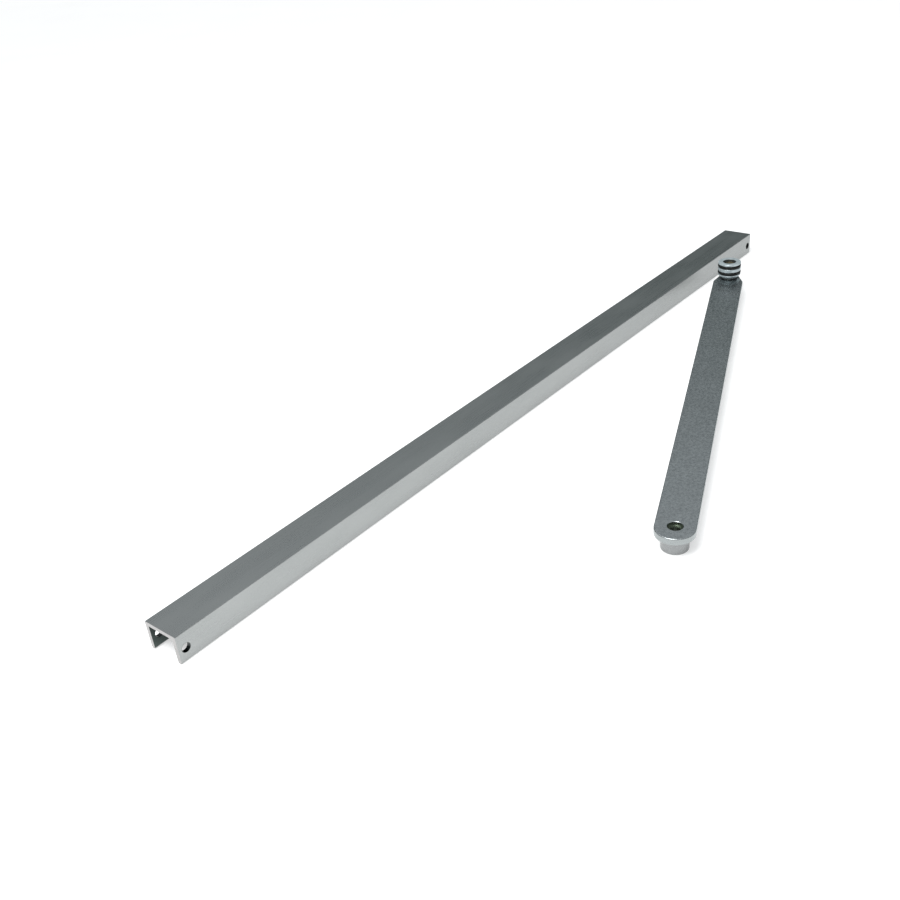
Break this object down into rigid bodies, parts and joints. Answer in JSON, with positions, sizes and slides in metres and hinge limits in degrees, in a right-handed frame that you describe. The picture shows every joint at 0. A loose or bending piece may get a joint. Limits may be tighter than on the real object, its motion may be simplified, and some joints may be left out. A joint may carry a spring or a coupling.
{
  "type": "door closer slide rail and roller arm",
  "caption": "Slide rail and roller arm of a door closer: a U-channel rail and a flat steel arm with a spindle hub and a rubber-ringed roller.",
  "frame": {"origin": "centre of the rail's flat top face", "axes": "+X along the rail towards the end that the roller stands beside, +Z out of the rail's flat top face, +Y across the rail, away from the arm"},
  "size_m": [0.53, 0.1595, 0.0224],
  "materials": {
    "rail_finish": "satin silver",
    "arm_finish": "mottled silver-grey lacquer",
    "hub_steel": "silver-grey lacquer",
    "pin_steel": "yellow zinc, worn",
    "washer_steel": "dull steel",
    "bush_brass": "oiled brass",
    "roller_steel": "turned, blue-white zinc",
    "black_rubber": "matte"
  },
  "bodies": {
    "rail": {"slide_rail": "rail_finish"},
    "carriage": {"bearing_bush": "bush_brass"},
    "arm": {"arm_bar": "arm_finish", "spindle_hub": "hub_steel", "roller_pin": "pin_steel", "thrust_washer": "washer_steel"},
    "roller": {"roller_body": "roller_steel", "lower_rubber_ring": "black_rubber", "upper_rubber_ring": "black_rubber"}
  },
  "joints": [
    {"name": "track_travel", "type": "slide", "parent": "rail", "child": "carriage", "axis": [1, 0, 0], "range_m": [-0.435, 0.055]},
    {"name": "arm_swing", "type": "hinge", "parent": "carriage", "child": "arm", "pos_m": [0.19, -0.03, -0.0031], "axis": [0, 0, 1], "range_deg": [-21.6, 158.4]},
    {"name": "roller_spin", "type": "hinge", "parent": "carriage", "child": "roller", "pos_m": [0.19, -0.03, 0.0021], "axis": [0, 0, 1], "continuous": true}
  ]
}
